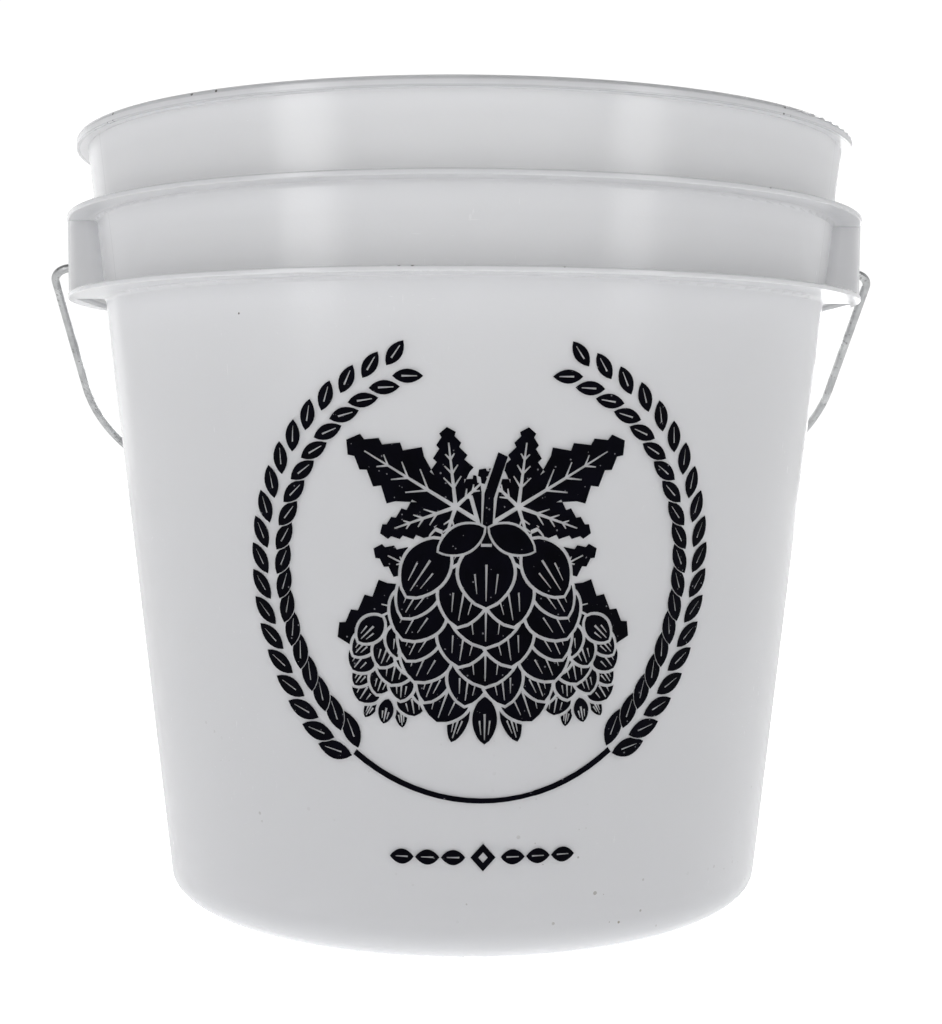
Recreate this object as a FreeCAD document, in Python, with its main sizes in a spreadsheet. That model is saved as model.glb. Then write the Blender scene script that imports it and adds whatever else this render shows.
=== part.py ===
import FreeCAD, Part
import math
import os

import Sketcher

# Open plastic fermenting pail with a swinging wire bail, in millimetres.
# +Z is up and the origin is the centre of the base, on the surface it stands on.
# The ears that carry the bail are on the X axis. The bail hangs behind, towards +Y.

# Driving dimensions: each alias in the sheet, its value, and what it sets.
DIMENSIONS = [
    ("pail_height", 233.0, "floor the pail stands on to the top of the rim"),
    ("base_radius", 94.9, "outside of the wall, extended down to the base plane"),
    ("mouth_radius", 119.4, "outside of the wall, extended up to the rim top"),
    ("wall_thickness", 1.9, "side wall, measured level"),
    ("floor_thickness", 2.4, "bottom of the pail"),
    ("base_corner", 4.0, "rounded corner between wall and base, outside"),
    ("inner_corner", 6.0, "rounded corner between wall and floor, inside"),
    ("foot_width", 7.0, "ring that the pail stands on, measured in from base_radius"),
    ("foot_height", 1.4, "the floor's underside above the base plane"),
    ("gate_radius", 4.0, "moulding gate button under the floor"),
    ("gate_height", 0.6, "moulding gate button under the floor"),
    ("rim_lip", 3.1, "rim bead beyond mouth_radius"),
    ("rim_height", 2.8, "rim bead"),
    ("rim_round", 1.0, "top edges of the rim bead"),
    ("flange_reach", 6.2, "both stiffening flanges beyond mouth_radius"),
    ("flange_thickness", 1.5, "both flanges"),
    ("flange_round", 0.4, "outer edges of both flanges"),
    ("flange_cove", 1.4, "inside corners between the flanges and the wall"),
    ("upper_flange_drop", 23.4, "rim top down to the top of the upper flange"),
    ("lower_flange_drop", 47.1, "rim top down to the top of the lower flange"),
    ("ear_half_width", 27.0, "middle of the ear to the outside of its side webs"),
    ("ear_plate", 1.8, "ear face plate"),
    ("ear_web", 1.7, "ear side webs"),
    ("ear_round", 1.2, "upright outer corners of the ear"),
    ("pivot_below", 11.9, "underside of the upper flange down to the bail's pivot axis"),
    ("hole_clearance", 0.3, "around the wire in the ear hole"),
    ("wire_diameter", 2.7, "bail wire"),
    ("rim_pass", 7.592, "between the grip and the rim's edge as the bail swings over"),
    ("leg_gap", 6.7, "flange edge to the near side of the bail leg"),
    ("pin_bend_inside", 5.15, "inside radius of the bend between leg and pivot pin"),
    ("hook_bend_inside", 1.05, "inside radius of the bend behind the ear plate"),
    ("hook_gap", 1.012, "between the hooked end and the wall"),
    ("hook_length", 5.6, "pivot axis to the tip of the hooked end"),
    ("grip_radius", 6.5, "outside of the grip"),
    ("grip_length", 98.0, "grip"),
    ("grip_play", 4.65, "straight wire left beyond each end of the grip"),
    ("grip_round", 2.0, "ends of the grip"),
    ("grip_clearance", 0.3, "around the wire in the grip's bore"),
    ("ring_depth", 0.7, "finger rings cut into the grip"),
    ("ring_radius", 1.6, "finger rings cut into the grip"),
    ("ring_pitch", 8.0, "from one finger ring to the next"),
    ("rest_gap", 0.4, "between the grip and the wall it leans towards"),
]
RING_COUNT = 9
ROOT = 0.5   # how deep the flanges are set into the wall, as a share of its thickness
OVERCUT = 5.0   # how far a cut runs past what it opens

# Sizes that follow from the driving ones, as expressions on the sheet.
TAPER = "((dim.mouth_radius - dim.base_radius) / dim.pail_height)"
UPPER_TOP = "(dim.pail_height - dim.upper_flange_drop)"
UPPER_UNDER = f"({UPPER_TOP} - dim.flange_thickness)"
LOWER_TOP = "(dim.pail_height - dim.lower_flange_drop)"
LOWER_UNDER = f"({LOWER_TOP} - dim.flange_thickness)"
PIVOT_Z = f"({UPPER_UNDER} - dim.pivot_below)"
RIM_RADIUS = "(dim.mouth_radius + dim.rim_lip)"
FLANGE_RADIUS = "(dim.mouth_radius + dim.flange_reach)"
FLOOR_TOP = "(dim.foot_height + dim.floor_thickness)"
WIRE_RADIUS = "(dim.wire_diameter / 2)"
PIN_BEND = f"(dim.pin_bend_inside + {WIRE_RADIUS})"
HOOK_BEND = f"(dim.hook_bend_inside + {WIRE_RADIUS})"
LEG_X = f"({FLANGE_RADIUS} + dim.leg_gap + {WIRE_RADIUS})"
BAIL_CORNER = f"({LEG_X} - dim.grip_length / 2 - dim.grip_play)"

# Swinging over, the grip passes rim_pass outside the rim's top edge.
RIM_EDGE = f"sqrt({RIM_RADIUS}^2 + (dim.pail_height - {PIVOT_Z})^2)"
REACH = f"({RIM_EDGE} + dim.rim_pass + dim.grip_radius)"

# The bail leans back until the grip is rest_gap short of the wall's slope.
SLANT = f"sqrt(1 + {TAPER}^2)"
LEAN_SINE = (
    f"(((dim.grip_radius + dim.rest_gap) * {SLANT} + dim.base_radius + {TAPER} * {PIVOT_Z})"
    f" / ({REACH} * {SLANT}))"
)
LEAN = f"(asin({LEAN_SINE}) - atan({TAPER}))"


def wall_at(height):
    """Outside radius of the side wall at a height above the base plane."""
    return f"(dim.base_radius + {TAPER} * ({height}))"


# The hooked end of the wire turns between the wall and the ear plate.
HOOK_TIP = f"({PIVOT_Z} + dim.hook_length)"
HOOK_X = f"({wall_at(HOOK_TIP)} + dim.hook_gap + {WIRE_RADIUS})"
EAR_BACK = f"({HOOK_X} + {HOOK_BEND})"
EAR_FACE = f"({EAR_BACK} + dim.ear_plate)"


def make_sheet(doc):
    sheet = doc.addObject("Spreadsheet::Sheet", "dim")
    for row, (alias, value, meaning) in enumerate(DIMENSIONS, start=1):
        sheet.set(f"A{row}", alias)
        sheet.set(f"B{row}", str(value))
        sheet.set(f"C{row}", meaning)
        sheet.setAlias(f"B{row}", alias)
    doc.recompute()
    return sheet


def number(sheet, expression):
    """Value of an expression on the sheet as a plain number."""
    value = sheet.evalExpression(expression)
    return float(getattr(value, "Value", value))


def new_body(doc, label):
    body = doc.addObject("PartDesign::Body", label)
    body.Label = label
    return body


def origin_feature(body, role):
    return next(item for item in body.Origin.OriginFeatures if item.Role == role)


def new_sketch(body, name, plane, offset=None):
    """Empty sketch on one of the body's origin planes, raised by the expression offset."""
    sketch = body.newObject("Sketcher::SketchObject", name)
    sketch.AttachmentSupport = [(origin_feature(body, plane), "")]
    sketch.MapMode = "FlatFace"
    if offset:
        sketch.setExpression("AttachmentOffset.Base.z", offset)
    return sketch


def pin_point(sketch, geometry, place, x, y):
    """Bind a point's two coordinates to expressions, or hold it on an axis where one is 0."""
    for kind, axis, expression in (("DistanceX", -2, x), ("DistanceY", -1, y)):
        if expression == "0":
            sketch.addConstraint(Sketcher.Constraint("PointOnObject", geometry, place, axis))
            continue
        start = sketch.getPoint(geometry, place)
        value = start.x if kind == "DistanceX" else start.y
        index = sketch.addConstraint(Sketcher.Constraint(kind, geometry, place, value))
        sketch.setExpression(f"Constraints[{index}]", expression)


def arc_between(start, end, radius, turn):
    """Short arc from start to end, turning left (turn +1) or right (turn -1)."""
    chord = end - start
    middle = start + chord * 0.5
    rise = math.sqrt(max(radius ** 2 - (chord.Length / 2) ** 2, 0.0))
    side = FreeCAD.Vector(-chord.y, chord.x, 0).normalize()
    centre = middle + side * (rise * turn)
    top = centre - side * (radius * turn)
    return Part.Arc(start, top, end)


def draw(sheet, sketch, outline, closed=True):
    """Draw an outline of bound corners joined by lines and arcs.

    Each entry is a corner (x, y), or a corner with the arc that leads to the next one
    (x, y, radius, turn). All sizes are expressions, and turn is +1 for left, -1 for right.
    """
    corners = [FreeCAD.Vector(number(sheet, x), number(sheet, y), 0) for x, y, *_ in outline]
    spans = len(outline) if closed else len(outline) - 1
    edges = []
    for index in range(spans):
        start = corners[index]
        end = corners[(index + 1) % len(corners)]
        bend = outline[index][2:]
        if bend:
            curve = arc_between(start, end, number(sheet, bend[0]), bend[1])
        else:
            curve = Part.LineSegment(start, end)
        edges.append(sketch.addGeometry(curve, False))
    ends = []
    for index, edge in enumerate(edges):
        near_start = (sketch.getPoint(edge, 1) - corners[index]).Length < 1e-6
        ends.append((1, 2) if near_start else (2, 1))
    for index, edge in enumerate(edges):
        pin_point(sketch, edge, ends[index][0], *outline[index][:2])
        following = (index + 1) % len(edges)
        if closed or index + 1 < len(edges):
            joint = (edge, ends[index][1], edges[following], ends[following][0])
            sketch.addConstraint(Sketcher.Constraint("Coincident", *joint))
    if not closed:
        pin_point(sketch, edges[-1], ends[-1][1], *outline[-1][:2])
    for index, edge in enumerate(edges):
        bend = outline[index][2:]
        if bend:
            radius = number(sheet, bend[0])
            constraint = sketch.addConstraint(Sketcher.Constraint("Radius", edge, radius))
            sketch.setExpression(f"Constraints[{constraint}]", bend[0])


def draw_circle(sheet, sketch, x, y, radius):
    centre = FreeCAD.Vector(number(sheet, x), number(sheet, y), 0)
    normal = FreeCAD.Vector(0, 0, 1)
    circle = sketch.addGeometry(Part.Circle(centre, normal, number(sheet, radius)), False)
    pin_point(sketch, circle, 3, x, y)
    index = sketch.addConstraint(Sketcher.Constraint("Radius", circle, number(sheet, radius)))
    sketch.setExpression(f"Constraints[{index}]", radius)


def turn_profile(body, kind, name, sketch, role="Z_Axis"):
    """Full-turn Revolution or Groove of a sketch about one of the body's axes."""
    feature = body.newObject(f"PartDesign::{kind}", name)
    feature.Profile = sketch
    feature.ReferenceAxis = (origin_feature(body, role), [""])
    feature.Angle = 360
    body.Document.recompute()
    return feature


def flange_outline():
    """Both flanges and the solid core that joins them, with coves towards the wall."""
    outline = [("0", LOWER_UNDER + " - dim.flange_cove")]
    levels = ((LOWER_UNDER, LOWER_TOP), (UPPER_UNDER, UPPER_TOP))
    edge = FLANGE_RADIUS
    for under, top in levels:
        below = f"{under} - dim.flange_cove"
        above = f"{top} + dim.flange_cove"
        outline += [
            (f"{wall_at(below)} - dim.wall_thickness * {ROOT}", below),
            (wall_at(below), below, "dim.flange_cove", -1),
            (f"{wall_at(below)} + dim.flange_cove", under),
            (f"{edge} - dim.flange_round", under, "dim.flange_round", 1),
            (edge, f"{under} + dim.flange_round"),
            (edge, f"{top} - dim.flange_round", "dim.flange_round", 1),
            (f"{edge} - dim.flange_round", top),
            (f"{wall_at(above)} + dim.flange_cove", top, "dim.flange_cove", -1),
            (wall_at(above), above),
            (f"{wall_at(above)} - dim.wall_thickness * {ROOT}", above),
        ]
    outline.append(("0", f"{UPPER_TOP} + dim.flange_cove"))
    return outline


def add_flanges(sheet, body):
    sketch = new_sketch(body, "flange_profile", "XZ_Plane")
    draw(sheet, sketch, flange_outline())
    turn_profile(body, "Revolution", "flanges", sketch)


def rectangle(half_length, half_width):
    """Rectangle centred on the origin."""
    signs = ((-1, -1), (1, -1), (1, 1), (-1, 1))
    return [(f"{half_length} * {x}", f"{half_width} * {y}") for x, y in signs]


def rounded_bar(half_length, half_width, corner):
    """Rectangle centred on the origin with four rounded corners."""
    long_x = f"{half_length} - {corner}"
    short_y = f"{half_width} - {corner}"
    return [
        (f"-({long_x})", f"-{half_width}"),
        (long_x, f"-{half_width}", corner, 1),
        (half_length, f"-({short_y})"),
        (half_length, short_y, corner, 1),
        (long_x, half_width),
        (f"-({long_x})", half_width, corner, 1),
        (f"-{half_length}", short_y),
        (f"-{half_length}", f"-({short_y})", corner, 1),
    ]


def add_ears(sheet, body):
    """Two ears as one bar across the pail, which the pail's own solid later fills."""
    doc = body.Document
    sketch = new_sketch(body, "ear_outline", "XY_Plane", LOWER_UNDER)
    draw(sheet, sketch, rounded_bar(EAR_FACE, "dim.ear_half_width", "dim.ear_round"))
    block = body.newObject("PartDesign::Pad", "ear_blocks")
    block.Profile = sketch
    block.setExpression("Length", f"{UPPER_UNDER} - {LOWER_UNDER} + dim.flange_thickness / 2")
    doc.recompute()

    sketch = new_sketch(body, "ear_pocket_outline", "XY_Plane", f"{LOWER_UNDER} - {OVERCUT}")
    draw(sheet, sketch, rectangle(EAR_BACK, "(dim.ear_half_width - dim.ear_web)"))
    pocket = body.newObject("PartDesign::Pocket", "ear_pockets")
    pocket.Profile = sketch
    pocket.Reversed = True
    pocket.setExpression("Length", f"{UPPER_UNDER} - {LOWER_UNDER} + {OVERCUT}")
    doc.recompute()

    sketch = new_sketch(body, "pivot_hole_outline", "YZ_Plane")
    draw_circle(sheet, sketch, "0", PIVOT_Z, f"{WIRE_RADIUS} + dim.hole_clearance")
    hole = body.newObject("PartDesign::Pocket", "pivot_holes")
    hole.Profile = sketch
    hole.Type = "ThroughAll"
    hole.Midplane = True
    doc.recompute()


def add_pail(sheet, body):
    """Foot, wall and rim as one solid, then the space inside cut out of it."""
    top = "dim.pail_height"
    rim_under = f"({top} - dim.rim_height)"
    foot_inner = "(dim.base_radius - dim.foot_width)"
    gate_face = "(dim.foot_height - dim.gate_height)"
    corner_top = "dim.base_corner"
    outline = [
        ("0", gate_face),
        ("dim.gate_radius", gate_face),
        ("dim.gate_radius", "dim.foot_height"),
        (f"{foot_inner} - dim.foot_height", "dim.foot_height"),
        (foot_inner, "0"),
        (f"{wall_at(corner_top)} - dim.base_corner", "0", "dim.base_corner", 1),
        (wall_at(corner_top), corner_top),
        (wall_at(rim_under), rim_under),
        (RIM_RADIUS, rim_under),
        (RIM_RADIUS, f"{top} - dim.rim_round", "dim.rim_round", 1),
        (f"{RIM_RADIUS} - dim.rim_round", top),
        ("0", top),
    ]
    sketch = new_sketch(body, "pail_profile", "XZ_Plane")
    draw(sheet, sketch, outline)
    turn_profile(body, "Revolution", "pail_solid", sketch)

    corner_level = f"({FLOOR_TOP} + dim.inner_corner)"
    lip_level = f"({top} - dim.rim_round)"
    inner_corner_x = f"({wall_at(corner_level)} - dim.wall_thickness)"
    lip_x = f"({wall_at(lip_level)} - dim.wall_thickness)"
    space = [
        ("0", FLOOR_TOP),
        (f"{inner_corner_x} - dim.inner_corner", FLOOR_TOP, "dim.inner_corner", 1),
        (inner_corner_x, corner_level),
        (lip_x, lip_level, "dim.rim_round", -1),
        (f"{lip_x} + dim.rim_round", top),
        (f"{lip_x} + dim.rim_round", f"{top} + {OVERCUT}"),
        ("0", f"{top} + {OVERCUT}"),
    ]
    sketch = new_sketch(body, "inside_profile", "XZ_Plane")
    draw(sheet, sketch, space)
    turn_profile(body, "Groove", "inside", sketch)


def make_bucket(doc, sheet):
    body = new_body(doc, "bucket")
    add_flanges(sheet, body)
    add_ears(sheet, body)
    add_pail(sheet, body)
    return body


def make_wire(doc, sheet):
    """Bail wire: half of it swept from the grip to the hooked end, then mirrored."""
    body = new_body(doc, "bail_wire")
    path = new_sketch(body, "wire_path", "XZ_Plane")
    draw(sheet, path, [
        ("0", f"-{REACH}"),
        (f"{LEG_X} - {BAIL_CORNER}", f"-{REACH}", BAIL_CORNER, 1),
        (LEG_X, f"{BAIL_CORNER} - {REACH}"),
        (LEG_X, f"-{PIN_BEND}", PIN_BEND, 1),
        (f"{LEG_X} - {PIN_BEND}", "0"),
        (f"{HOOK_X} + {HOOK_BEND}", "0", HOOK_BEND, -1),
        (HOOK_X, HOOK_BEND),
        (HOOK_X, "dim.hook_length"),
    ], closed=False)
    section = new_sketch(body, "wire_section", "YZ_Plane")
    draw_circle(sheet, section, "0", f"-{REACH}", WIRE_RADIUS)
    doc.recompute()
    half = body.newObject("PartDesign::AdditivePipe", "half_wire")
    half.Profile = section
    half.Spine = path
    doc.recompute()
    whole = body.newObject("PartDesign::Mirrored", "whole_wire")
    whole.Originals = [half]
    whole.MirrorPlane = (origin_feature(body, "YZ_Plane"), [""])
    body.Tip = whole
    place(body, "0", PIVOT_Z, lean=True)
    return body


def make_grip(doc, sheet):
    """Moulded tube that turns on the wire's middle run, with rings cut round it."""
    body = new_body(doc, "bail_grip")
    half = "(dim.grip_length / 2)"
    bore = f"({WIRE_RADIUS} + dim.grip_clearance)"
    sketch = new_sketch(body, "grip_profile", "XZ_Plane")
    draw(sheet, sketch, [
        (f"-{half}", bore),
        (half, bore),
        (half, "dim.grip_radius - dim.grip_round", "dim.grip_round", 1),
        (f"{half} - dim.grip_round", "dim.grip_radius"),
        (f"-({half} - dim.grip_round)", "dim.grip_radius", "dim.grip_round", 1),
        (f"-{half}", "dim.grip_radius - dim.grip_round"),
    ])
    turn_profile(body, "Revolution", "barrel", sketch, "X_Axis")

    first_ring = f"-dim.ring_pitch * {(RING_COUNT - 1) / 2}"
    sketch = new_sketch(body, "ring_profile", "XZ_Plane")
    ring_centre = "dim.grip_radius + dim.ring_radius - dim.ring_depth"
    draw_circle(sheet, sketch, first_ring, ring_centre, "dim.ring_radius")
    ring = turn_profile(body, "Groove", "first_ring", sketch, "X_Axis")
    rings = body.newObject("PartDesign::LinearPattern", "rings")
    rings.Originals = [ring]
    rings.Direction = (origin_feature(body, "X_Axis"), [""])
    rings.Occurrences = RING_COUNT
    rings.setExpression("Length", f"dim.ring_pitch * {RING_COUNT - 1}")
    body.Tip = rings
    place(body, f"{REACH} * sin({LEAN})", f"{PIVOT_Z} - {REACH} * cos({LEAN})")
    return body


def place(body, y, z, lean=False):
    body.setExpression("Placement.Base.y", y)
    body.setExpression("Placement.Base.z", z)
    if lean:
        body.Placement.Rotation = FreeCAD.Rotation(FreeCAD.Vector(1, 0, 0), 1)
        body.setExpression("Placement.Rotation.Angle", LEAN)


def check(doc, parts):
    """Stop before anything is written if a feature or a shape is not sound."""
    for item in doc.Objects:
        bad = {"Invalid", "Error"} & set(item.State)
        if bad:
            raise RuntimeError(f"{item.Label}: {sorted(bad)}")
    for part in parts:
        shape = part.Shape
        if shape.isNull() or not shape.isValid() or len(shape.Solids) != 1:
            raise RuntimeError(f"{part.Label}: not one valid solid")


def main():
    doc = FreeCAD.newDocument("fermenting_pail")
    sheet = make_sheet(doc)
    parts = [make_bucket(doc, sheet), make_wire(doc, sheet), make_grip(doc, sheet)]
    doc.recompute()
    check(doc, parts)
    os.makedirs("parts", exist_ok=True)
    for part in parts:
        part.Shape.exportStep(f"parts/{part.Label}.step")
        box = part.Shape.optimalBoundingBox()
        print(f"{part.Label}: {part.Shape.Volume / 1000:.1f} cm3, {box}")


main()
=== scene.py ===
import math

import bmesh
import bpy
from mathutils import Euler, Matrix, Vector
from mathutils.geometry import delaunay_2d_cdt


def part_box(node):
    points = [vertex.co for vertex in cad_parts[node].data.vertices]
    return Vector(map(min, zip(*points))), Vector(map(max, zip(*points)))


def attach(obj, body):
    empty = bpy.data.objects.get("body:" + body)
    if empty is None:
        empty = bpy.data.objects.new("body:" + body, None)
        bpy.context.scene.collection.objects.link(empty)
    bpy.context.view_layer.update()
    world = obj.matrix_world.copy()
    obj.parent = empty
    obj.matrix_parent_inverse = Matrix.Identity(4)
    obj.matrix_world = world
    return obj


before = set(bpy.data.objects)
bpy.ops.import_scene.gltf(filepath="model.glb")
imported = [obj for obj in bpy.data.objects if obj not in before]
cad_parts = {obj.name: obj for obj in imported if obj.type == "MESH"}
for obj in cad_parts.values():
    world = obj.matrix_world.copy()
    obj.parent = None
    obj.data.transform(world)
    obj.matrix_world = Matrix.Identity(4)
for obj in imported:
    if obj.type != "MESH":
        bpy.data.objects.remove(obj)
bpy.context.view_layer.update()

# Open plastic fermenting pail with a wire bail. Lengths are in metres unless a name ends in _MM.
# The front of the pail faces -Y, its ears and the bail's pivots are on X, and +Z is up.

MM = 0.001

# ---------------------------------------------------------------- the pail's own sizes

PAIL_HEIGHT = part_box("bucket")[1][2]
BASE_RADIUS = 0.0949          # outside of the wall at the base plane
MOUTH_RADIUS = 0.1194         # outside of the wall at the rim top
TAPER = (MOUTH_RADIUS - BASE_RADIUS) / PAIL_HEIGHT
UPPER_FLANGE = 0.2096         # heights of the two flanges and the rim's underside
LOWER_FLANGE = 0.1859
RIM_UNDER = 0.2302
RIM_LIP = 0.0031              # rim bead beyond the wall's line
EAR_TOP = UPPER_FLANGE - 0.0016    # span of the ear plates, between the flanges
EAR_BOTTOM = LOWER_FLANGE + 0.0002
SEAM_TURN = math.radians(65)  # parting lines, round from the front

# ---------------------------------------------------------------- camera, floor and light

CAMERA_DISTANCE = 0.5127      # from the pail's axis
CAMERA_HEIGHT = 0.1481
CAMERA_SIDE = 0.0023          # sideways step, to the right of the axis
CAMERA_TURN = math.radians(1.95)
CAMERA_DOWN = math.radians(3.44)
CAMERA_ROLL = math.radians(0.22)
CAMERA_LENS = 54.78

LIGHT_AIM = 0.12              # height on the pail's axis that every light faces
FLOOR_RADIUS = 12.0
FLOOR_GAP = 0.0002            # floor below the foot, so that the two don't share a plane


def make_camera():
    """Camera before the pail and a little above its middle, looking slightly down."""
    camera = bpy.data.objects.new("camera", bpy.data.cameras.new("camera"))
    bpy.context.collection.objects.link(camera)
    camera.data.sensor_width = 36.0
    camera.data.lens = CAMERA_LENS
    camera.data.clip_start = 0.01
    camera.data.clip_end = 100.0
    turn = Matrix.Rotation(-CAMERA_TURN, 4, "Z")
    stand = turn @ Vector((CAMERA_SIDE, -CAMERA_DISTANCE, CAMERA_HEIGHT))
    look = turn @ Euler((math.pi / 2 - CAMERA_DOWN, 0, 0)).to_matrix().to_4x4()
    camera.matrix_world = Matrix.Translation(stand) @ look @ Matrix.Rotation(CAMERA_ROLL, 4, "Z")
    bpy.context.scene.camera = camera


def area_light(name, azimuth, height, distance, width, tall, power):
    """Soft rectangular light. Azimuth 0 is in front of the pail and 90 is at its right."""
    light = bpy.data.lights.new(name, "AREA")
    light.shape = "RECTANGLE"
    light.size = width
    light.size_y = tall
    light.energy = power
    holder = bpy.data.objects.new(name, light)
    bpy.context.collection.objects.link(holder)
    angle = math.radians(azimuth)
    place = Vector((distance * math.sin(angle), -distance * math.cos(angle), height))
    direction = Vector((0, 0, LIGHT_AIM)) - place
    holder.location = place
    holder.rotation_euler = direction.to_track_quat("-Z", "Y").to_euler()


def make_world():
    """Studio light, dimmer from the front and from overhead, with a white backdrop."""
    world = bpy.data.worlds.new("studio")
    bpy.context.scene.world = world
    world.use_nodes = True
    tree = world.node_tree
    tree.nodes.clear()
    coordinates = tree.nodes.new("ShaderNodeTexCoord")
    split = tree.nodes.new("ShaderNodeSeparateXYZ")
    ramp = tree.nodes.new("ShaderNodeMapRange")
    ramp.inputs["From Min"].default_value = -1.0
    ramp.inputs["From Max"].default_value = 1.0
    ramp.inputs["To Min"].default_value = 0.20
    ramp.inputs["To Max"].default_value = 0.88
    overhead = tree.nodes.new("ShaderNodeMapRange")
    overhead.inputs["To Min"].default_value = 1.0
    overhead.inputs["To Max"].default_value = 0.35
    dimmed = add_node(tree, "ShaderNodeMath", operation="MULTIPLY")
    soft = tree.nodes.new("ShaderNodeBackground")
    white = tree.nodes.new("ShaderNodeBackground")
    white.inputs["Strength"].default_value = 1.05
    path = tree.nodes.new("ShaderNodeLightPath")
    mix = tree.nodes.new("ShaderNodeMixShader")
    output = tree.nodes.new("ShaderNodeOutputWorld")
    tree.links.new(coordinates.outputs["Generated"], split.inputs["Vector"])
    tree.links.new(split.outputs["Y"], ramp.inputs["Value"])
    soft.inputs["Color"].default_value = (0.985, 0.99, 1.0, 1)
    white.inputs["Color"].default_value = (1, 1, 1, 1)
    tree.links.new(split.outputs["Z"], overhead.inputs["Value"])
    tree.links.new(ramp.outputs["Result"], dimmed.inputs[0])
    tree.links.new(overhead.outputs["Result"], dimmed.inputs[1])
    tree.links.new(dimmed.outputs["Value"], soft.inputs["Strength"])
    tree.links.new(path.outputs["Is Camera Ray"], mix.inputs["Fac"])
    tree.links.new(soft.outputs["Background"], mix.inputs[1])
    tree.links.new(white.outputs["Background"], mix.inputs[2])
    tree.links.new(mix.outputs["Shader"], output.inputs["Surface"])


def make_floor():
    """Pale floor that looks white to the camera and lights the pail softly from below."""
    mesh = bpy.data.meshes.new("floor")
    shape = bmesh.new()
    bmesh.ops.create_circle(shape, cap_ends=True, segments=96, radius=FLOOR_RADIUS)
    shape.to_mesh(mesh)
    shape.free()
    floor = bpy.data.objects.new("floor", mesh)
    bpy.context.collection.objects.link(floor)
    floor.location.z = -FLOOR_GAP
    material = bpy.data.materials.new("pale floor")
    material.use_nodes = True
    principled = material.node_tree.nodes["Principled BSDF"]
    principled.inputs["Base Color"].default_value = (0.9, 0.9, 0.9, 1)
    principled.inputs["Roughness"].default_value = 0.9
    principled.inputs["Specular IOR Level"].default_value = 0.0
    principled.inputs["Emission Color"].default_value = (1, 1, 1, 1)
    seen = add_node(material.node_tree, "ShaderNodeLightPath").outputs["Is Camera Ray"]
    glow = map_range(material.node_tree, seen, 0.0, 1.0, 0.57, 1.0)
    material.node_tree.links.new(glow, principled.inputs["Emission Strength"])
    mesh.materials.append(material)


def make_lights():
    """The studio's world and six panels, each a name, azimuth, height, distance, size and watts."""
    make_world()
    area_light("front panel", 0, 0.18, 2.0, 2.2, 1.2, 3.6)
    area_light("left strip", -46, 0.25, 1.9, 0.55, 1.5, 8.2)
    area_light("right strip", 47, 0.25, 1.9, 0.45, 1.5, 5.4)
    area_light("right rim", 167, 0.25, 1.6, 0.73, 1.2, 6.8)
    area_light("left rim", -150, 0.45, 2.0, 0.8, 1.8, 2.0)
    area_light("overhead", 175, 1.9, 0.5, 1.4, 1.4, 1.0)


# ---------------------------------------------------------------- shader building blocks


def add_node(tree, kind, **settings):
    node = tree.nodes.new(kind)
    for name, value in settings.items():
        setattr(node, name, value)
    return node


def math_node(tree, operation, first, second=None):
    """One sum whose terms are sockets or plain numbers."""
    node = add_node(tree, "ShaderNodeMath", operation=operation)
    for socket, value in zip(node.inputs, (first, second)):
        if isinstance(value, bpy.types.NodeSocket):
            tree.links.new(value, socket)
        elif value is not None:
            socket.default_value = value
    return node.outputs["Value"]


def map_range(tree, value, low, high, to_low=0.0, to_high=1.0):
    """The value carried from the range low to high onto another, and held inside it."""
    node = add_node(tree, "ShaderNodeMapRange")
    tree.links.new(value, node.inputs["Value"])
    ends = {"From Min": low, "From Max": high, "To Min": to_low, "To Max": to_high}
    for name, number in ends.items():
        node.inputs[name].default_value = number
    return node.outputs["Result"]


def mix_colour(tree, mask, first, second):
    node = add_node(tree, "ShaderNodeMix", data_type="RGBA")
    tree.links.new(mask, node.inputs["Factor"])
    for socket, value in ((node.inputs[6], first), (node.inputs[7], second)):
        if isinstance(value, bpy.types.NodeSocket):
            tree.links.new(value, socket)
        else:
            socket.default_value = (*value, 1)
    return node.outputs[2]


def noise(tree, vector, scale, detail, roughness=0.5):
    node = add_node(tree, "ShaderNodeTexNoise")
    tree.links.new(vector, node.inputs["Vector"])
    if isinstance(scale, bpy.types.NodeSocket):
        tree.links.new(scale, node.inputs["Scale"])
    else:
        node.inputs["Scale"].default_value = scale
    node.inputs["Detail"].default_value = detail
    node.inputs["Roughness"].default_value = roughness
    return node.outputs["Fac"]


def stretched(tree, vector, scale, turn=(0, 0, 0)):
    """Coordinates scaled and turned, for a pattern that runs one way."""
    node = add_node(tree, "ShaderNodeMapping")
    node.inputs["Scale"].default_value = scale
    node.inputs["Rotation"].default_value = turn
    tree.links.new(vector, node.inputs["Vector"])
    return node.outputs["Vector"]


def new_group(name, inputs, outputs):
    """Shader node group with a vector input, named float inputs and named float outputs."""
    tree = bpy.data.node_groups.new(name, "ShaderNodeTree")
    tree.interface.new_socket("Vector", in_out="INPUT", socket_type="NodeSocketVector")
    for label, value in inputs.items():
        socket = tree.interface.new_socket(label, in_out="INPUT", socket_type="NodeSocketFloat")
        socket.default_value = value
    for label in outputs:
        tree.interface.new_socket(label, in_out="OUTPUT", socket_type="NodeSocketFloat")
    entry = tree.nodes.new("NodeGroupInput")
    leave = tree.nodes.new("NodeGroupOutput")
    return tree, entry.outputs, leave.inputs


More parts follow.
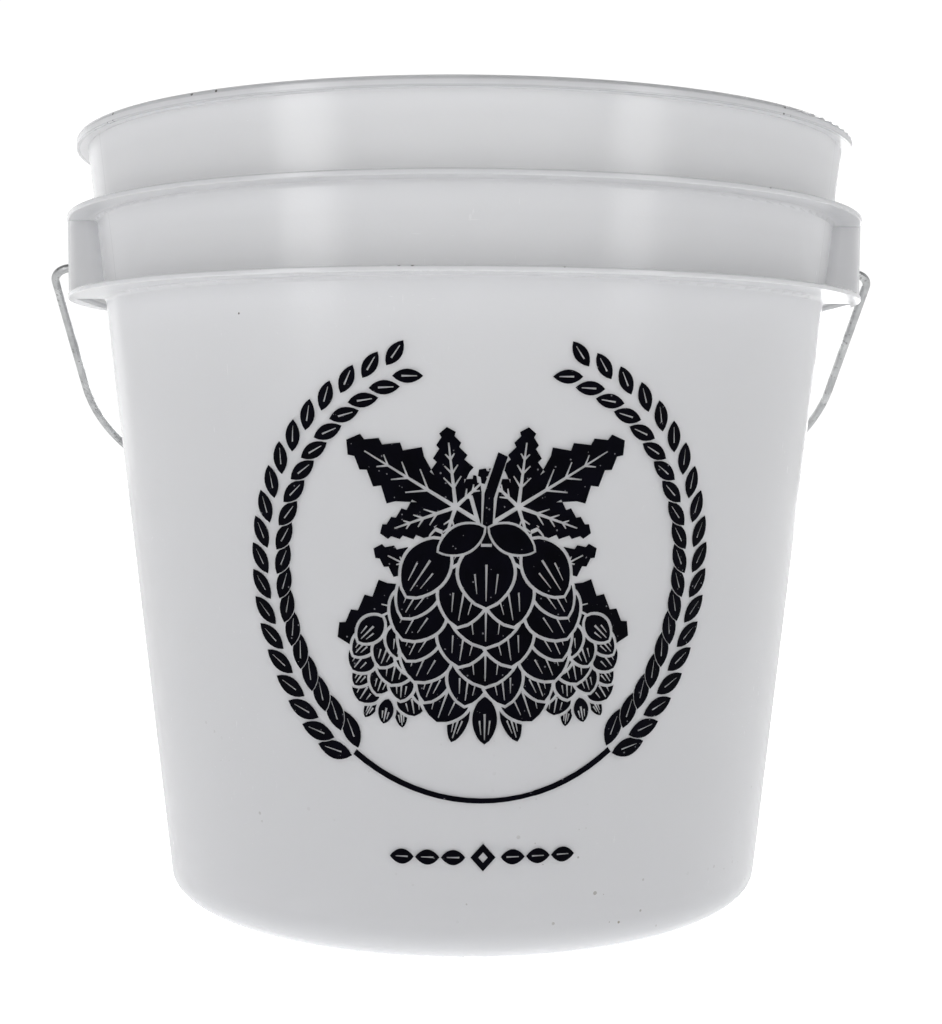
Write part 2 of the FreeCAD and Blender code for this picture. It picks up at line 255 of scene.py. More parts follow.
def make_specks_group():
    """Small separate spots, each cell of a Voronoi pattern holding one or none."""
    tree, given, result = new_group("specks", {"Scale": 200.0, "Size": 0.2, "Share": 0.3}, ["Mask"])
    cells = add_node(tree, "ShaderNodeTexVoronoi")
    tree.links.new(given["Vector"], cells.inputs["Vector"])
    tree.links.new(given["Scale"], cells.inputs["Scale"])
    split = add_node(tree, "ShaderNodeSeparateColor")
    tree.links.new(cells.outputs["Color"], split.inputs["Color"])
    chosen = math_node(tree, "LESS_THAN", split.outputs["Red"], given["Share"])
    size = math_node(tree, "MULTIPLY", split.outputs["Green"], given["Size"])
    inside = math_node(tree, "LESS_THAN", cells.outputs["Distance"], size)
    tree.links.new(math_node(tree, "MULTIPLY", chosen, inside), result["Mask"])
    return tree


def make_scuffs_group():
    """Fine scratches in two directions, broken up into patches."""
    tree, given, result = new_group("scuffs", {"Scale": 60.0, "Amount": 0.5}, ["Mask"])
    lines = []
    pulls = (((1.0, 14.0, 14.0), (0.2, 0.5, 0.3)),
             ((14.0, 14.0, 1.2), (0.1, -0.25, 0.6)))
    for scale, turn in pulls:
        pulled = stretched(tree, given["Vector"], scale, turn)
        streaks = noise(tree, pulled, given["Scale"], 2.0)
        lines.append(map_range(tree, streaks, 0.69, 0.76))
    patches = map_range(tree, noise(tree, given["Vector"], 22.0, 3.0), 0.5, 0.68)
    both = math_node(tree, "MAXIMUM", lines[0], lines[1])
    masked = math_node(tree, "MULTIPLY", both, patches)
    tree.links.new(math_node(tree, "MULTIPLY", masked, given["Amount"]), result["Mask"])
    return tree


def make_grain_group():
    """Fine moulded or drawn surface: a height that never reads as a pattern."""
    tree, given, result = new_group("grain", {"Scale": 900.0, "Waviness": 0.3}, ["Height"])
    fine = noise(tree, given["Vector"], given["Scale"], 3.0, 0.6)
    broad = noise(tree, given["Vector"], 28.0, 2.0)
    wave = math_node(tree, "MULTIPLY", broad, given["Waviness"])
    tree.links.new(math_node(tree, "ADD", fine, wave), result["Height"])
    return tree


def use_group(tree, group, vector, **values):
    """First output of a shared group, with its named inputs set."""
    node = add_node(tree, "ShaderNodeGroup", node_tree=group)
    tree.links.new(vector, node.inputs["Vector"])
    for name, value in values.items():
        node.inputs[name].default_value = value
    return node.outputs[0]


def new_material(name, viewport):
    """Material with its Principled shader and object coordinates ready to link."""
    material = bpy.data.materials.new(name)
    material.use_nodes = True
    material.diffuse_color = (*viewport, 1)
    tree = material.node_tree
    shader = tree.nodes["Principled BSDF"]
    where = add_node(tree, "ShaderNodeTexCoord").outputs["Object"]
    return material, tree, shader.inputs, where


def bump(tree, sockets, height, strength, distance):
    node = add_node(tree, "ShaderNodeBump")
    node.inputs["Strength"].default_value = strength
    node.inputs["Distance"].default_value = distance
    tree.links.new(height, node.inputs["Height"])
    tree.links.new(node.outputs["Normal"], sockets["Normal"])


GROUPS = {"specks": make_specks_group(), "scuffs": make_scuffs_group(), "grain": make_grain_group()}

# ---------------------------------------------------------------- materials


def proud_of_wall(tree, where):
    """How far a point stands out from the side wall, in metres."""
    flat = stretched(tree, where, (1, 1, 0))
    length = add_node(tree, "ShaderNodeVectorMath", operation="LENGTH")
    tree.links.new(flat, length.inputs[0])
    height = add_node(tree, "ShaderNodeSeparateXYZ")
    tree.links.new(where, height.inputs["Vector"])
    slope = math_node(tree, "MULTIPLY", height.outputs["Z"], TAPER)
    beyond_base = math_node(tree, "SUBTRACT", length.outputs["Value"], BASE_RADIUS)
    return math_node(tree, "SUBTRACT", beyond_base, slope)


def parting_lines(tree, where):
    """Hair lines down the wall where the four quarters of the mould's collar met."""
    split = add_node(tree, "ShaderNodeSeparateXYZ")
    tree.links.new(where, split.inputs["Vector"])
    sideways = math_node(tree, "ABSOLUTE", split.outputs["X"])
    forwards = math_node(tree, "ABSOLUTE", split.outputs["Y"])
    across = math_node(tree, "MULTIPLY", sideways, math.cos(SEAM_TURN))
    along = math_node(tree, "MULTIPLY", forwards, math.sin(SEAM_TURN))
    distance = math_node(tree, "ABSOLUTE", math_node(tree, "SUBTRACT", across, along))
    return map_range(tree, distance, 0.00026, 0.00010)


def milky_body(tree, where, z):
    """Base colour of the moulding: faint clouds, and a greyer foot that is painted shade, where the
    floor inside stands behind the wall and less light comes through it.
    """
    cloud = map_range(tree, noise(tree, where, 9.0, 3.0), 0.3, 0.7)
    body = mix_colour(tree, cloud, (0.785, 0.790, 0.808), (0.800, 0.805, 0.823))
    # painted shade: the foot is greyed up to about 10 mm, where the inside floor stands behind the
    # wall
    foot_painted_shade = map_range(tree, z, 0.0105, 0.0065)
    return mix_colour(tree, math_node(tree, "MULTIPLY", foot_painted_shade, 0.3), body, (0.66, 0.67, 0.69))


def dusted(tree, where, z, body):
    """Brown dust in patches low on the pail, and a few dark specks anywhere."""
    low = map_range(tree, z, 0.085, 0.0)
    dust = use_group(tree, GROUPS["specks"], where, Scale=420.0, Size=0.24, Share=0.3)
    patches = map_range(tree, noise(tree, where, 30.0, 4.0), 0.5, 0.72)
    dust = math_node(tree, "MULTIPLY", math_node(tree, "MULTIPLY", dust, low), patches)
    body = mix_colour(tree, dust, body, (0.27, 0.25, 0.20))
    stray = use_group(tree, GROUPS["specks"], where, Scale=110.0, Size=0.055, Share=0.10)
    return mix_colour(tree, stray, body, (0.16, 0.15, 0.14))


def collar_painted_light_and_shade(tree, z, proud, body):
    """Painted light and shade on the collar: lighter plastic above each flange and in the ears,
    painted light for light thrown up by the flanges and shining through the hollow ears; greyer
    where the plastic is thicker, painted shade for less light passing through the rim and flanges.
    """
    # painted light: a lighter band on the wall just above each flange, standing in for light thrown
    # up by the flange
    for level in (UPPER_FLANGE, LOWER_FLANGE):
        above = map_range(tree, z, level + 0.014, level)
        above_flange_painted_light = math_node(tree, "MULTIPLY", above, math_node(tree, "GREATER_THAN", z, level))
        body = mix_colour(tree, above_flange_painted_light, body, (0.90, 0.905, 0.92))

    solid = map_range(tree, proud, 0.0008, 0.0032)
    under_flange = math_node(tree, "LESS_THAN", z, EAR_TOP)
    over_flange = math_node(tree, "GREATER_THAN", z, EAR_BOTTOM)
    between = math_node(tree, "MULTIPLY", under_flange, over_flange)
    # painted light: the ear plates are lightened, standing in for light shining through the thin,
    # hollow ears
    ear = math_node(tree, "MULTIPLY", solid, between)
    body = mix_colour(tree, ear, body, (0.92, 0.925, 0.94))
    # painted shade: the rim and flanges, where the plastic is thicker, are greyed for less light
    # passing through them
    thick_painted_shade = math_node(tree, "SUBTRACT", solid, ear)
    return mix_colour(tree, math_node(tree, "MULTIPLY", thick_painted_shade, 0.85), body, (0.655, 0.660, 0.680))


def edge_shade_and_grime(tree, where, z, proud, body):
    """Thin dark lines along the edges of the rim and flanges, painted shade where the surface turns
    at each edge, with real grime in places along them.
    """
    lip = math_node(tree, "GREATER_THAN", proud, RIM_LIP - 0.0007)
    lines = None
    for level in (UPPER_FLANGE, LOWER_FLANGE, PAIL_HEIGHT - 0.0008, RIM_UNDER):
        distance = math_node(tree, "ABSOLUTE", math_node(tree, "SUBTRACT", z, level))
        line = map_range(tree, distance, 0.00055, 0.00020)
        lines = line if lines is None else math_node(tree, "MAXIMUM", lines, line)
    lines = math_node(tree, "MULTIPLY", lines, lip)
    # painted shade: thin dark lines where the rim and flange edges turn away from the light
    body = mix_colour(tree, math_node(tree, "MULTIPLY", lines, 0.45), body, (0.36, 0.36, 0.38))
    grime = use_group(tree, GROUPS["specks"], where, Scale=900.0, Size=0.6, Share=0.10)
    settled = map_range(tree, noise(tree, where, 34.0, 2.0), 0.52, 0.60)
    grime = math_node(tree, "MULTIPLY", math_node(tree, "MULTIPLY", grime, lines), settled)
    return mix_colour(tree, grime, body, (0.08, 0.075, 0.07))


def natural_plastic():
    """Milky moulded polyethylene: lets light through, with scuffs and dust from storage."""
    material, tree, sockets, where = new_material("natural polyethylene", (0.85, 0.86, 0.88))
    height = add_node(tree, "ShaderNodeSeparateXYZ")
    tree.links.new(where, height.inputs["Vector"])
    z = height.outputs["Z"]
    proud = proud_of_wall(tree, where)

    body = milky_body(tree, where, z)
    body = dusted(tree, where, z, body)
    body = collar_painted_light_and_shade(tree, z, proud, body)
    body = edge_shade_and_grime(tree, where, z, proud, body)

    collar = math_node(tree, "GREATER_THAN", z, LOWER_FLANGE)
    seam = math_node(tree, "MULTIPLY", parting_lines(tree, where), collar)
    body = mix_colour(tree, math_node(tree, "MULTIPLY", seam, 0.35), body, (0.42, 0.42, 0.44))
    scuffs = use_group(tree, GROUPS["scuffs"], where, Scale=110.0, Amount=0.5)
    body = mix_colour(tree, math_node(tree, "MULTIPLY", scuffs, 0.15), body, (0.9, 0.9, 0.9))
    tree.links.new(body, sockets["Base Color"])

    sheen = map_range(tree, noise(tree, where, 40.0, 3.0), 0.2, 0.8, 0.17, 0.21)
    rough = math_node(tree, "ADD", sheen, math_node(tree, "MULTIPLY", scuffs, 0.3))
    tree.links.new(rough, sockets["Roughness"])
    sockets["IOR"].default_value = 1.52
    sockets["Subsurface Weight"].default_value = 0.85
    sockets["Subsurface Radius"].default_value = (1.0, 1.0, 0.95)
    sockets["Subsurface Scale"].default_value = 0.010

    grain = use_group(tree, GROUPS["grain"], where, Scale=1400.0, Waviness=2.5)
    bump(tree, sockets, grain, 0.06, 0.0004)
    return material


def zinc_wire():
    """Zinc-plated drawn wire: grey, with duller patches and dark spots."""
    material, tree, sockets, where = new_material("zinc-plated wire", (0.55, 0.55, 0.54))
    dull = map_range(tree, noise(tree, where, 120.0, 5.0, 0.6), 0.35, 0.7)
    tone = mix_colour(tree, dull, (0.57, 0.58, 0.58), (0.40, 0.405, 0.41))
    spots = use_group(tree, GROUPS["specks"], where, Scale=900.0, Size=0.5, Share=0.3)
    tone = mix_colour(tree, math_node(tree, "MULTIPLY", spots, 0.5), tone, (0.15, 0.145, 0.14))
    tree.links.new(tone, sockets["Base Color"])
    sockets["Metallic"].default_value = 1.0
    tree.links.new(map_range(tree, dull, 0.0, 1.0, 0.24, 0.46), sockets["Roughness"])
    grain = use_group(tree, GROUPS["grain"], where, Scale=2600.0, Waviness=0.4)
    bump(tree, sockets, grain, 0.25, 0.00015)
    return material


def grip_plastic():
    """Opaque white moulded grip, a little yellowed and rubbed."""
    material, tree, sockets, where = new_material("moulded grip", (0.84, 0.83, 0.80))
    rubbed = map_range(tree, noise(tree, where, 60.0, 4.0), 0.4, 0.65)
    tone = mix_colour(tree, rubbed, (0.80, 0.79, 0.76), (0.72, 0.71, 0.68))
    scuffs = use_group(tree, GROUPS["scuffs"], where, Scale=160.0, Amount=0.8)
    tone = mix_colour(tree, math_node(tree, "MULTIPLY", scuffs, 0.6), tone, (0.50, 0.49, 0.47))
    tree.links.new(tone, sockets["Base Color"])
    tree.links.new(map_range(tree, rubbed, 0.0, 1.0, 0.34, 0.5), sockets["Roughness"])
    sockets["Subsurface Weight"].default_value = 0.25
    sockets["Subsurface Scale"].default_value = 0.002
    grain = use_group(tree, GROUPS["grain"], where, Scale=1800.0, Waviness=0.5)
    bump(tree, sockets, grain, 0.3, 0.0003)
    return material


def print_ink():
    """Screen-printed blue-black ink with pinholes and an uneven film."""
    material, tree, sockets, where = new_material("print ink", (0.02, 0.02, 0.035))
    film = map_range(tree, noise(tree, where, 150.0, 4.0), 0.35, 0.7)
    tone = mix_colour(tree, film, (0.0006, 0.0006, 0.0020), (0.0018, 0.0017, 0.0050))
    pinholes = use_group(tree, GROUPS["specks"], where, Scale=1500.0, Size=0.4, Share=0.05)
    tone = mix_colour(tree, math_node(tree, "MULTIPLY", pinholes, 0.5), tone, (0.35, 0.35, 0.38))
    tree.links.new(tone, sockets["Base Color"])
    tree.links.new(map_range(tree, film, 0.0, 1.0, 0.34, 0.5), sockets["Roughness"])
    sockets["Specular IOR Level"].default_value = 0.03
    grain = use_group(tree, GROUPS["grain"], where, Scale=2200.0, Waviness=0.6)
    bump(tree, sockets, grain, 0.2, 0.0001)
    return material


# ---------------------------------------------------------------- printed mark
# The artwork is drawn flat in millimetres, u to the right and v up, then laid on the wall.

MARK_TURN = math.radians(1.5)     # the mark sits a little to the right of the front
MARK_LEVEL = 0.1055               # height of the wreath's centre
FILM_OUT = 0.00013                # ink film above the wall and sunk into it
FILM_IN = 0.00020
HOPS_LEVEL = MARK_LEVEL - 0.0045
HOPS_SCALE = 1.2
FOOT_MARK_LEVEL = 0.0296
STRIP_MM = 3.0                    # widest flat strip before the film follows the curve

HOP_LOBES = ((0, 1.0), (52, 0.74), (104, 0.50))    # each lobe's angle and share of the leaf
TOOTH_PLACES = (0.42, 0.58, 0.74, 0.88)            # shares of the way along a lobe

WREATH_RADIUS_MM = 60.0
EAR_ARCS = ((-52, 66, -104), (232, 114, 284))      # each ear's foot and tip, and its stalk's end
EAR_GRAINS = 19
GRAIN_LEAN = math.radians(28)
GRAIN_SPREAD_MM = 1.5


def leaf_shape(length, width, belly, lean, steps=14):
    """Pointed oval from its base at the origin to its tip at (length, 0)."""
    side = []
    for step in range(1, steps):
        along = step / steps
        half = width / 2 * math.sin(math.pi * along) ** belly * (1 - lean * along)
        side.append((length * along, half))
    lower = [(u, -v) for u, v in side]
    return [(0.0, 0.0), *lower, (length, 0.0), *reversed(side)]


def placed(points, u, v, angle):
    """Points turned by an angle in degrees, then moved to (u, v)."""
    turn = math.radians(angle)
    cosine = math.cos(turn)
    sine = math.sin(turn)
    return [(u + x * cosine - y * sine, v + x * sine + y * cosine) for x, y in points]


def line_shape(length, start, end):
    """Straight tapering line from the origin along +u."""
    return [(0.0, -start / 2), (length, -end / 2), (length, end / 2), (0.0, start / 2)]


def lobed_leaf(length):
    """Hop leaf with toothed lobes, its stalk at the origin and its main lobe along +u."""
    half = []
    heart = (0.30 * length, 0.0)
    for order, (angle, share) in enumerate(HOP_LOBES):
        reach = length * share * (0.72 if order == 0 else 0.62)
        wide = reach * 0.27
        direction = math.radians(angle)
        along = Vector((math.cos(direction), math.sin(direction)))
        across = Vector((-along.y, along.x))
        tip = Vector(heart) + along * reach
        if order:
            for share_along in TOOTH_PLACES:
                spread = wide * (1.15 - share_along) * 1.35
                base = Vector(heart) + along * reach * share_along
                half.append(base - across * spread * 0.80)
                half.append(base + along * reach * 0.05 - across * spread)
        half.append(tip)
        for share_along in reversed(TOOTH_PLACES):
            spread = wide * (1.15 - share_along) * 1.35
            base = Vector(heart) + along * reach * share_along
            half.append(base + along * reach * 0.05 + across * spread)
            half.append(base + across * spread * 0.80)
    half.append(Vector((0.12 * length, 0.20 * length)))
    half = [(point.x, point.y) for point in half]
    other = [(u, -v) for u, v in reversed(half[1:])]
    return [*half, (0.06 * length, 0.0), *other]


def lobed_veins(length):
    """Bare lines along the lobes of lobed_leaf and short ribs off the middle one."""
    veins = []
    heart = (0.30 * length, 0.0)
    for order, (angle, share) in enumerate(HOP_LOBES):
        reach = length * share * (0.60 if order == 0 else 0.50)
        for side in ((1,) if order == 0 else (1, -1)):
            vein = line_shape(reach, 0.9, 0.35)
            veins.append(placed(vein, heart[0], heart[1], angle * side))
            for share_along in (0.30, 0.52, 0.74):
                turn = math.radians(angle * side)
                start = (heart[0] + math.cos(turn) * reach * share_along,
                         heart[1] + math.sin(turn) * reach * share_along)
                rib = line_shape(reach * 0.24 * (1.2 - share_along), 0.5, 0.3)
                for bend in (38, -38):
                    veins.append(placed(rib, *start, angle * side + bend))
    veins.append(line_shape(heart[0], 1.1, 0.9))
    return veins


def anticlockwise(points):
    """The same outline, running the way that the triangulation fills."""
    following = [*points[1:], points[0]]
    area = sum(a[0] * b[1] - b[0] * a[1] for a, b in zip(points, following))
    return list(points) if area > 0 else list(reversed(points))


class Artwork:
    """Flat shapes in painting order: ink, or bare wall that knocks ink out again."""

    def __init__(self, scale=1.0):
        self.scale = scale
        self.shapes = []

    def add(self, points, inked):
        sized = [(u * self.scale, v * self.scale) for u, v in points]
        self.shapes.append((anticlockwise(sized), inked))

    def ink(self, points):
        self.add(points, True)

    def bare(self, points):
        self.add(points, False)

    def ringed(self, points, gap):
        """Ink with a bare margin round it, which separates it from what lies under it."""
        middle_u = sum(u for u, _ in points) / len(points)
        middle_v = sum(v for _, v in points) / len(points)
        margin = []
        for u, v in points:
            away = Vector((u - middle_u, v - middle_v))
            away = away + away.normalized() * gap
            margin.append((middle_u + away.x, middle_v + away.y))
        self.bare(margin)
        self.ink(points)

    def stroke(self, points, start, end, gap):
        """Line of changing width along a list of points, with a bare margin round it."""
        self.bare(ribbon(points, start + 2 * gap, end + 2 * gap))
        self.ink(ribbon(points, start, end))

    def triangles(self):
        """Corners and triangles of what is inked, cut into strips that can follow the wall."""
        corners = []
        faces = []
        for points, _ in self.shapes:
            start = len(corners)
            corners += [Vector(point) for point in points]
            faces.append(list(range(start, start + len(points))))
        edges = []
        low = min(min(u for u, _ in points) for points, _ in self.shapes)
        high = max(max(u for u, _ in points) for points, _ in self.shapes)
        bottom = min(min(v for _, v in points) for points, _ in self.shapes) - 1
        top = max(max(v for _, v in points) for points, _ in self.shapes) + 1
        for strip in range(1, math.ceil((high - low) / STRIP_MM)):
            cut = low + strip * STRIP_MM
            edges.append((len(corners), len(corners) + 1))
            corners += [Vector((cut, bottom)), Vector((cut, top))]
        found = delaunay_2d_cdt(corners, edges, faces, 1, 1e-5)
        points, triangles, owners = found[0], found[2], found[5]
        inked = []
        for triangle, covering in zip(triangles, owners):
            if covering and self.shapes[max(covering)][1]:
                inked.append(triangle)
        return points, inked


def on_wall(u, v, level, lift):
    """Place on the wall, or lift metres above it, for a flat point in millimetres."""
    height = level + v * MM
    radius = BASE_RADIUS + TAPER * height + lift
    angle = u * MM / (BASE_RADIUS + TAPER * level) + MARK_TURN
    return (radius * math.sin(angle), -radius * math.cos(angle), height)


def ink_film(name, artwork, level, material):
    """Closed thin film of ink in the artwork's shape, laid on the wall."""
    points, triangles = artwork.triangles()
    outer = [on_wall(point.x, point.y, level, FILM_OUT) for point in points]
    inner = [on_wall(point.x, point.y, level, -FILM_IN) for point in points]
    count = len(points)
    faces = []
    borders = {}
    for triangle in triangles:
        a, b, c = triangle
        faces.append((a, b, c))
        faces.append((c + count, b + count, a + count))
        for edge in ((a, b), (b, c), (c, a)):
            borders[edge] = borders.get(edge, 0) + 1
    for a, b in borders:
        if (b, a) not in borders:
            faces.append((b, a, a + count, b + count))
    mesh = bpy.data.meshes.new(name)
    mesh.from_pydata(outer + inner, [], faces)
    mesh.validate()
    shape = bmesh.new()
    shape.from_mesh(mesh)
    loose = [vertex for vertex in shape.verts if not vertex.link_faces]
    bmesh.ops.delete(shape, geom=loose, context="VERTS")
    bmesh.ops.recalc_face_normals(shape, faces=shape.faces)
    shape.to_mesh(mesh)
    shape.free()
    mesh.materials.append(material)
    film = bpy.data.objects.new(name, mesh)
    bpy.context.collection.objects.link(film)
    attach(film, "pail")
    return film


def draw_cone(art, u, v, size, tilt=0.0, rows=8):
    """Hop cone hanging from (u, v): rows of pointed bracts, each row over the one below."""
    def at(x, y):
        return placed([(x * size, y * size)], u, v, tilt)[0]

    length = 50.0
    for row in reversed(range(rows)):
        along = (row + 0.25) / rows
        half_width = 16.5 * math.sin(math.pi * (0.16 + 0.80 * along) ** 0.80) ** 0.80
        count = 4 if row % 2 else 3
        if row >= rows - 2:
            count -= 1
        bract_length = 15.0 * (1.0 - 0.30 * along)
        for place in sorted(range(count), key=lambda item: -abs(item - (count - 1) / 2)):
            side = 0.0 if count == 1 else (place / (count - 1)) * 2 - 1
            x = side * half_width * 0.72
            y = -length * along * 0.80
            angle = tilt - 90 + side * (34 - 18 * along)
            fullness = 1.28 if abs(side) < 0.5 else 1.05
            bract_width = fullness * half_width * 2 / max(count, 2) * 1.15
            bract = leaf_shape(bract_length * size, bract_width * size, 0.62, 0.10)
            art.ringed(placed(bract, *at(x, y), angle), 0.75)
            vein = line_shape(bract_length * size * 0.55, 0.55, 0.25)
            start = placed([(bract_length * size * 0.36, 0)], *at(x, y), angle)[0]
            art.bare(placed(vein, *start, angle))
            for spread in (-1, 1):
                rib = placed([(bract_length * size * 0.50, spread * bract_width * size * 0.20)],
                             *at(x, y), angle)[0]
                short = line_shape(bract_length * size * 0.30, 0.42, 0.20)
                art.bare(placed(short, *rib, angle - spread * 6))


def make_hop_mark(material):
    """Middle of the mark: hop leaves behind, two small cones and a large one in front."""
    art = Artwork(HOPS_SCALE)
    leaves = ((3, 14, 148, 38), (-3, 14, 32, 38), (2, 8, 206, 39), (-2, 8, -26, 39))
    for u, v, angle, length in leaves:
        art.ringed(placed(lobed_leaf(length), u, v, angle), 0.9)
        for vein in lobed_veins(length):
            art.bare(placed(vein, u, v, angle))
    for side in (-1, 1):
        draw_cone(art, side * 18, -5, 0.53, side * 13, rows=6)
    draw_cone(art, 0, 14, 1.0)
    stem = [(-1.1, 12), (1.1, 12), (1.4, 22), (4.2, 31), (2.2, 32), (-0.6, 23)]
    art.ringed(stem, 0.7)
    for side in (-1, 1):
        sepal = leaf_shape(11, 6.2, 0.7, 0.1)
        art.ringed(placed(sepal, side * 0.6, 15.5, -90 + side * 62), 0.6)
    return ink_film("print_hops", art, HOPS_LEVEL, material)


def barley_tree(name):
    """Node tree that sets grains in two rows along a stalk's curve."""
    tree = bpy.data.node_groups.new(name, "GeometryNodeTree")
    face = tree.interface
    face.new_socket("Stalk", in_out="INPUT", socket_type="NodeSocketGeometry")
    grains = face.new_socket("Grains", in_out="INPUT", socket_type="NodeSocketInt")
    grains.default_value = 20
    for label, value in (("Lean", 0.45), ("Spread", 1.0), ("Base Size", 0.9), ("Tip Size", 0.6)):
        socket = face.new_socket(label, in_out="INPUT", socket_type="NodeSocketFloat")
        socket.default_value = value
    face.new_socket("Grain", in_out="INPUT", socket_type="NodeSocketObject")
    face.new_socket("Ink", in_out="INPUT", socket_type="NodeSocketMaterial")
    face.new_socket("Ear", in_out="OUTPUT", socket_type="NodeSocketGeometry")
    entry = tree.nodes.new("NodeGroupInput").outputs
    leave = tree.nodes.new("NodeGroupOutput").inputs

    points = add_node(tree, "GeometryNodeResampleCurve")
    tree.links.new(entry["Stalk"], points.inputs["Curve"])
    tree.links.new(entry["Grains"], points.inputs["Count"])
    tangent = add_node(tree, "GeometryNodeInputTangent")
    along = add_node(tree, "FunctionNodeAlignRotationToVector", axis="X")
    tree.links.new(tangent.outputs["Tangent"], along.inputs["Vector"])
    share = add_node(tree, "GeometryNodeSplineParameter")
    size = add_node(tree, "ShaderNodeMapRange")
    tree.links.new(share.outputs["Factor"], size.inputs["Value"])
    tree.links.new(entry["Base Size"], size.inputs["To Min"])
    tree.links.new(entry["Tip Size"], size.inputs["To Max"])
    grain = add_node(tree, "GeometryNodeObjectInfo")
    grain.inputs["As Instance"].default_value = True
    tree.links.new(entry["Grain"], grain.inputs["Object"])
    side_way = add_node(tree, "ShaderNodeVectorMath", operation="CROSS_PRODUCT")
    tree.links.new(tangent.outputs["Tangent"], side_way.inputs[0])
    side_way.inputs[1].default_value = (0, 0, 1)
    join = add_node(tree, "GeometryNodeJoinGeometry")
    for side in (-1.0, 1.0):
        angle = add_node(tree, "ShaderNodeMath", operation="MULTIPLY")
        tree.links.new(entry["Lean"], angle.inputs[0])
        angle.inputs[1].default_value = side
        lean = add_node(tree, "FunctionNodeAxisAngleToRotation")
        lean.inputs["Axis"].default_value = (0, 0, 1)
        tree.links.new(angle.outputs["Value"], lean.inputs["Angle"])
        turned = add_node(tree, "FunctionNodeRotateRotation", rotation_space="LOCAL")
        tree.links.new(along.outputs["Rotation"], turned.inputs["Rotation"])
        tree.links.new(lean.outputs["Rotation"], turned.inputs["Rotate By"])
        step = add_node(tree, "ShaderNodeMath", operation="MULTIPLY")
        tree.links.new(entry["Spread"], step.inputs[0])
        step.inputs[1].default_value = -side
        shift = add_node(tree, "ShaderNodeVectorMath", operation="SCALE")
        tree.links.new(side_way.outputs["Vector"], shift.inputs[0])
        tree.links.new(step.outputs["Value"], shift.inputs["Scale"])
        moved = add_node(tree, "GeometryNodeSetPosition")
        tree.links.new(points.outputs["Curve"], moved.inputs["Geometry"])
        tree.links.new(shift.outputs["Vector"], moved.inputs["Offset"])
        placed_grains = add_node(tree, "GeometryNodeInstanceOnPoints")
        tree.links.new(moved.outputs["Geometry"], placed_grains.inputs["Points"])
        tree.links.new(grain.outputs["Geometry"], placed_grains.inputs["Instance"])
        tree.links.new(turned.outputs["Rotation"], placed_grains.inputs["Rotation"])
        tree.links.new(size.outputs["Result"], placed_grains.inputs["Scale"])
        tree.links.new(placed_grains.outputs["Instances"], join.inputs["Geometry"])
    real = add_node(tree, "GeometryNodeRealizeInstances")
    coat = add_node(tree, "GeometryNodeSetMaterial")
    tree.links.new(join.outputs["Geometry"], real.inputs["Geometry"])
    tree.links.new(real.outputs["Geometry"], coat.inputs["Geometry"])
    tree.links.new(entry["Ink"], coat.inputs["Material"])
    tree.links.new(coat.outputs["Geometry"], leave["Ear"])
    return tree


def flat_object(name, outlines):
    """Mesh object whose faces are flat outlines, in millimetres."""
    mesh = bpy.data.meshes.new(name)
    corners = []
    faces = []
    for points in outlines:
        faces.append(list(range(len(corners), len(corners) + len(points))))
        corners += [(u, v, 0.0) for u, v in points]
    mesh.from_pydata(corners, [], faces)
    part = bpy.data.objects.new(name, mesh)
    bpy.context.collection.objects.link(part)
    return part


def arc_points(radius, start, end, count):
    """Points on a circle about the wreath's centre, angles in degrees from +u."""
    points = []
    for step in range(count + 1):
        angle = math.radians(start + (end - start) * step / count)
        points.append((radius * math.cos(angle), radius * math.sin(angle)))
    return points


def ribbon(points, start, end):
    """Outline of a line of changing width along a list of points."""
    left = []
    right = []
    for index, point in enumerate(points):
        here = Vector(point)
        before = Vector(points[max(index - 1, 0)])
        after = Vector(points[min(index + 1, len(points) - 1)])
        across = (after - before).orthogonal().normalized()
        half = (start + (end - start) * index / (len(points) - 1)) / 2
        left.append(tuple(here + across * half))
        right.append(tuple(here - across * half))
    return [*left, *reversed(right)]


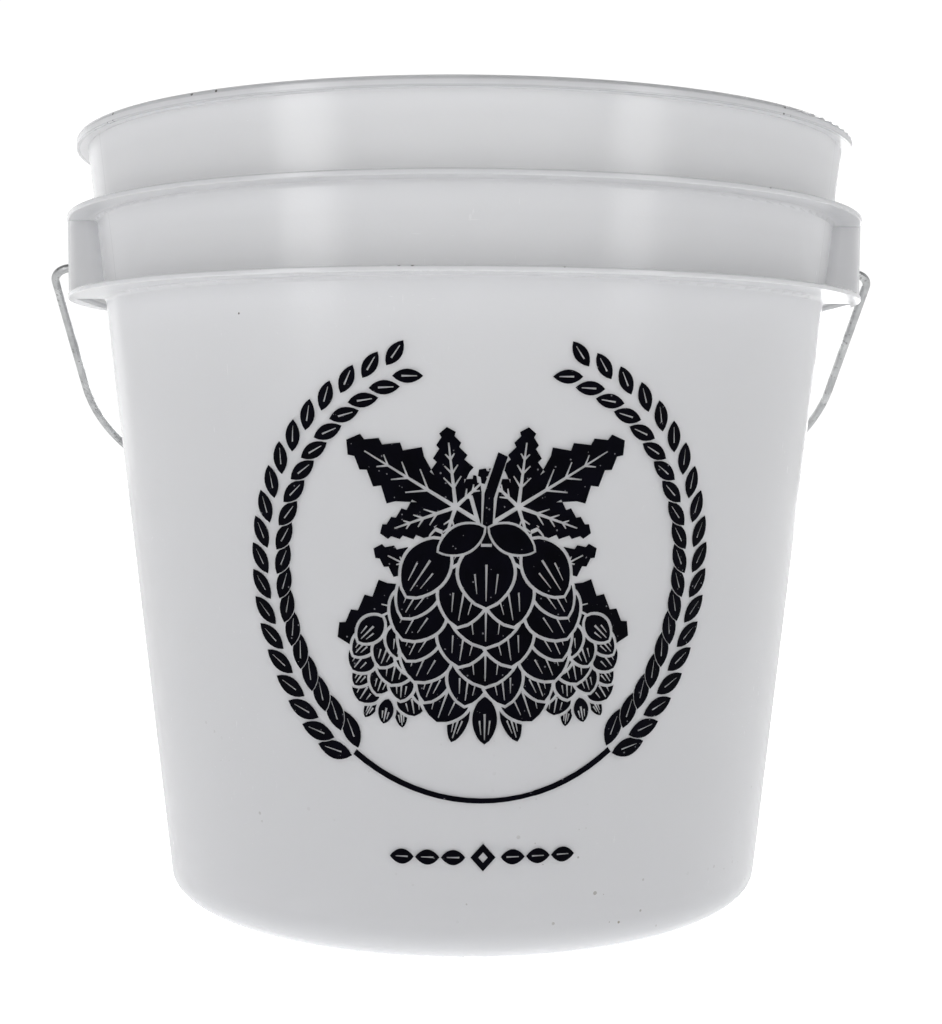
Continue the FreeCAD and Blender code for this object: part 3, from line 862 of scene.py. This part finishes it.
def ear_outlines(tree, grain, start, end, ink):
    """Faces of one ear of barley along an arc, made by the node tree, as flat outlines."""
    curve = bpy.data.curves.new("stalk", "CURVE")
    curve.dimensions = "3D"
    points = arc_points(WREATH_RADIUS_MM, start, end, 24)
    spline = curve.splines.new("POLY")
    spline.points.add(len(points) - 1)
    for item, (u, v) in zip(spline.points, points):
        item.co = (u, v, 0, 1)
    stalk = bpy.data.objects.new("stalk", curve)
    bpy.context.collection.objects.link(stalk)
    modifier = stalk.modifiers.new("grains", "NODES")
    modifier.node_group = tree
    values = {"Grains": EAR_GRAINS, "Lean": GRAIN_LEAN, "Spread": GRAIN_SPREAD_MM,
              "Base Size": 1.16, "Tip Size": 0.84, "Grain": grain, "Ink": ink}
    for item in tree.interface.items_tree:
        if item.name in values and item.in_out == "INPUT":
            modifier[item.identifier] = values[item.name]
    bpy.context.view_layer.update()
    evaluated = stalk.evaluated_get(bpy.context.evaluated_depsgraph_get())
    mesh = bpy.data.meshes.new_from_object(evaluated)
    outlines = []
    for face in mesh.polygons:
        outlines.append([tuple(mesh.vertices[index].co.xy) for index in face.vertices])
    bpy.data.objects.remove(stalk)
    bpy.data.meshes.remove(mesh)
    return outlines


def make_wreath_mark(material):
    """Two ears of barley that meet at the bottom and open at the top."""
    grain = flat_object("grain", [leaf_shape(9.2, 4.5, 0.8, 0.05, 8)])
    tree = barley_tree("barley ear")
    art = Artwork()
    for start, end, stalk_end in EAR_ARCS:
        stalk = arc_points(WREATH_RADIUS_MM, stalk_end, start, 14)
        art.stroke(stalk, 1.3, 1.7, 0.7)
        for outline in ear_outlines(tree, grain, start, end, material):
            art.ringed(outline, 0.35)
            foot = Vector(outline[0])
            tip = max((Vector(point) for point in outline), key=lambda point: (point - foot).length)
            crease = foot.lerp(tip, 0.30)
            way = tip - foot
            angle = math.degrees(math.atan2(way.y, way.x))
            art.bare(placed(line_shape(way.length * 0.5, 0.5, 0.25), *crease, angle))
    film = ink_film("print_wreath", art, MARK_LEVEL, material)
    bpy.data.objects.remove(grain)
    return film


def make_foot_mark(material):
    """Small row of grains either side of a lozenge, under the wreath."""
    art = Artwork()
    art.ink([(-3.4, 0), (0, -3.9), (3.4, 0), (0, 3.9)])
    art.bare([(-1.3, 0), (0, -1.5), (1.3, 0), (0, 1.5)])
    for side in (-1, 1):
        for place in range(3):
            grain = leaf_shape(6.6, 4.4, 0.8, 0.05, 10)
            angle = 0 if side > 0 else 180
            art.ink(placed(grain, side * (4.8 + place * 7.0), 0, angle))
            art.bare(placed(line_shape(3.4, 0.5, 0.3), side * (6.4 + place * 7.0), 0, angle))
    return ink_film("print_foot", art, FOOT_MARK_LEVEL, material)


# ---------------------------------------------------------------- the object


def dress(node, material):
    """Give a CAD node its finished material."""
    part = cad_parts[node]
    part.data.materials.clear()
    part.data.materials.append(material)


bpy.context.scene.view_settings.view_transform = "Standard"
make_camera()
make_floor()
make_lights()
dress("bucket", natural_plastic())
dress("bail_wire", zinc_wire())
dress("bail_grip", grip_plastic())
ink = print_ink()
make_hop_mark(ink)
make_wreath_mark(ink)
make_foot_mark(ink)
